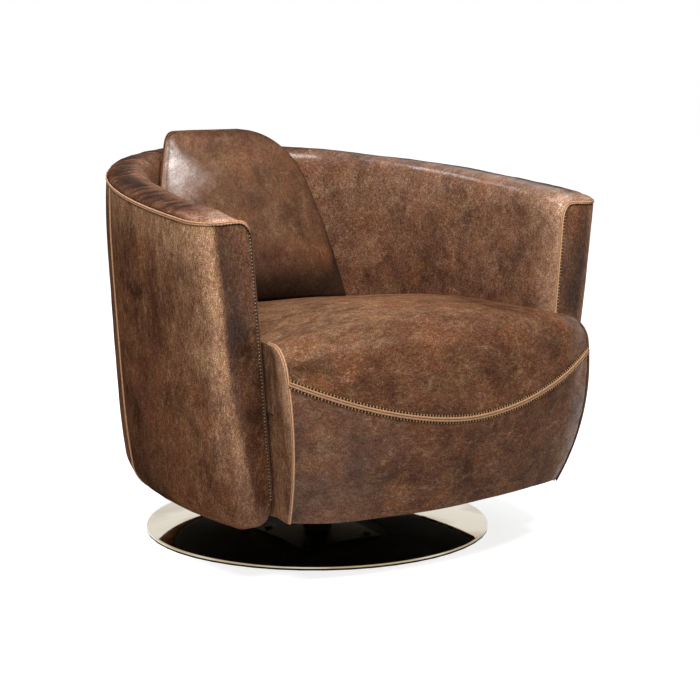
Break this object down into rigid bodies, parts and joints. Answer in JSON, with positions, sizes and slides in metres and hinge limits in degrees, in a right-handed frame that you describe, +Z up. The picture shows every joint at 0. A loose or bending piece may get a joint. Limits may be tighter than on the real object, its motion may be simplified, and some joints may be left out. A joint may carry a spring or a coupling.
{
  "type": "swivel tub armchair",
  "caption": "Leather tub armchair with a crowned seat, a curved front seam and a raised back pad, turning on a polished round disc base.",
  "frame": {"origin": "on the floor, on the swivel axis, at the centre of the floor pad's underside", "axes": "+Z up along the swivel axis, -Y to the chair's front, +X to the right arm as seen from the front"},
  "size_m": [0.834, 0.8938, 0.714],
  "materials": {
    "leather": "distressed mid-brown, satin",
    "welt": "tan piping, raw edge",
    "foam": "open foam with wadding",
    "plywood": "raw",
    "hardwood": "raw",
    "webbing": "woven elastic",
    "cloth": "black non-woven",
    "chrome": "mirror polish",
    "steel": "zinc plated",
    "nylon": "natural",
    "rubber": "matt black"
  },
  "bodies": {
    "base": {"floor_pad": "rubber", "base_ballast": "steel", "base_disc": "chrome", "base_column": "chrome", "column_bolt_1": "steel", "column_bolt_2": "steel", "column_bolt_3": "steel", "column_bolt_4": "steel", "lower_bush": "nylon", "upper_bush": "nylon"},
    "chair": {"outer_side_left": "leather", "outer_side_right": "leather", "outer_back": "leather", "inner_cover": "leather", "seat_top_cover": "leather", "seat_front_cover": "leather", "seat_border_left": "leather", "seat_border_right": "leather", "back_pad_front": "leather", "back_pad_border": "leather", "rim_welt": "welt", "back_seam_welt_left": "welt", "back_seam_welt_right": "welt", "seat_front_welt": "welt", "seat_side_welt_left": "welt", "seat_side_welt_right": "welt", "tub_foam": "foam", "arm_front_foam_left": "foam", "arm_front_foam_right": "foam", "seat_foam": "foam", "back_pad_foam": "foam", "outer_panel": "plywood", "bottom_board": "plywood", "top_rail": "hardwood", "base_hoop": "hardwood", "front_post_left": "hardwood", "front_post_right": "hardwood", "side_post_left": "hardwood", "side_post_right": "hardwood", "back_post_left": "hardwood", "back_post_right": "hardwood", "front_rail": "hardwood", "back_rail": "hardwood", "side_rail_left": "hardwood", "side_rail_right": "hardwood", "seat_web_1": "webbing", "seat_web_2": "webbing", "seat_web_3": "webbing", "seat_web_4": "webbing", "cross_web_1": "webbing", "cross_web_2": "webbing", "cross_web_3": "webbing", "dust_cover": "cloth", "spindle": "steel", "swivel_plate": "steel", "retaining_clip": "steel", "plate_bolt_1": "steel", "plate_bolt_2": "steel", "plate_bolt_3": "steel", "plate_bolt_4": "steel"}
  },
  "joints": [
    {"name": "swivel", "type": "hinge", "parent": "base", "child": "chair", "pos_m": [0, 0, 0], "axis": [0, 0, 1], "continuous": true}
  ]
}
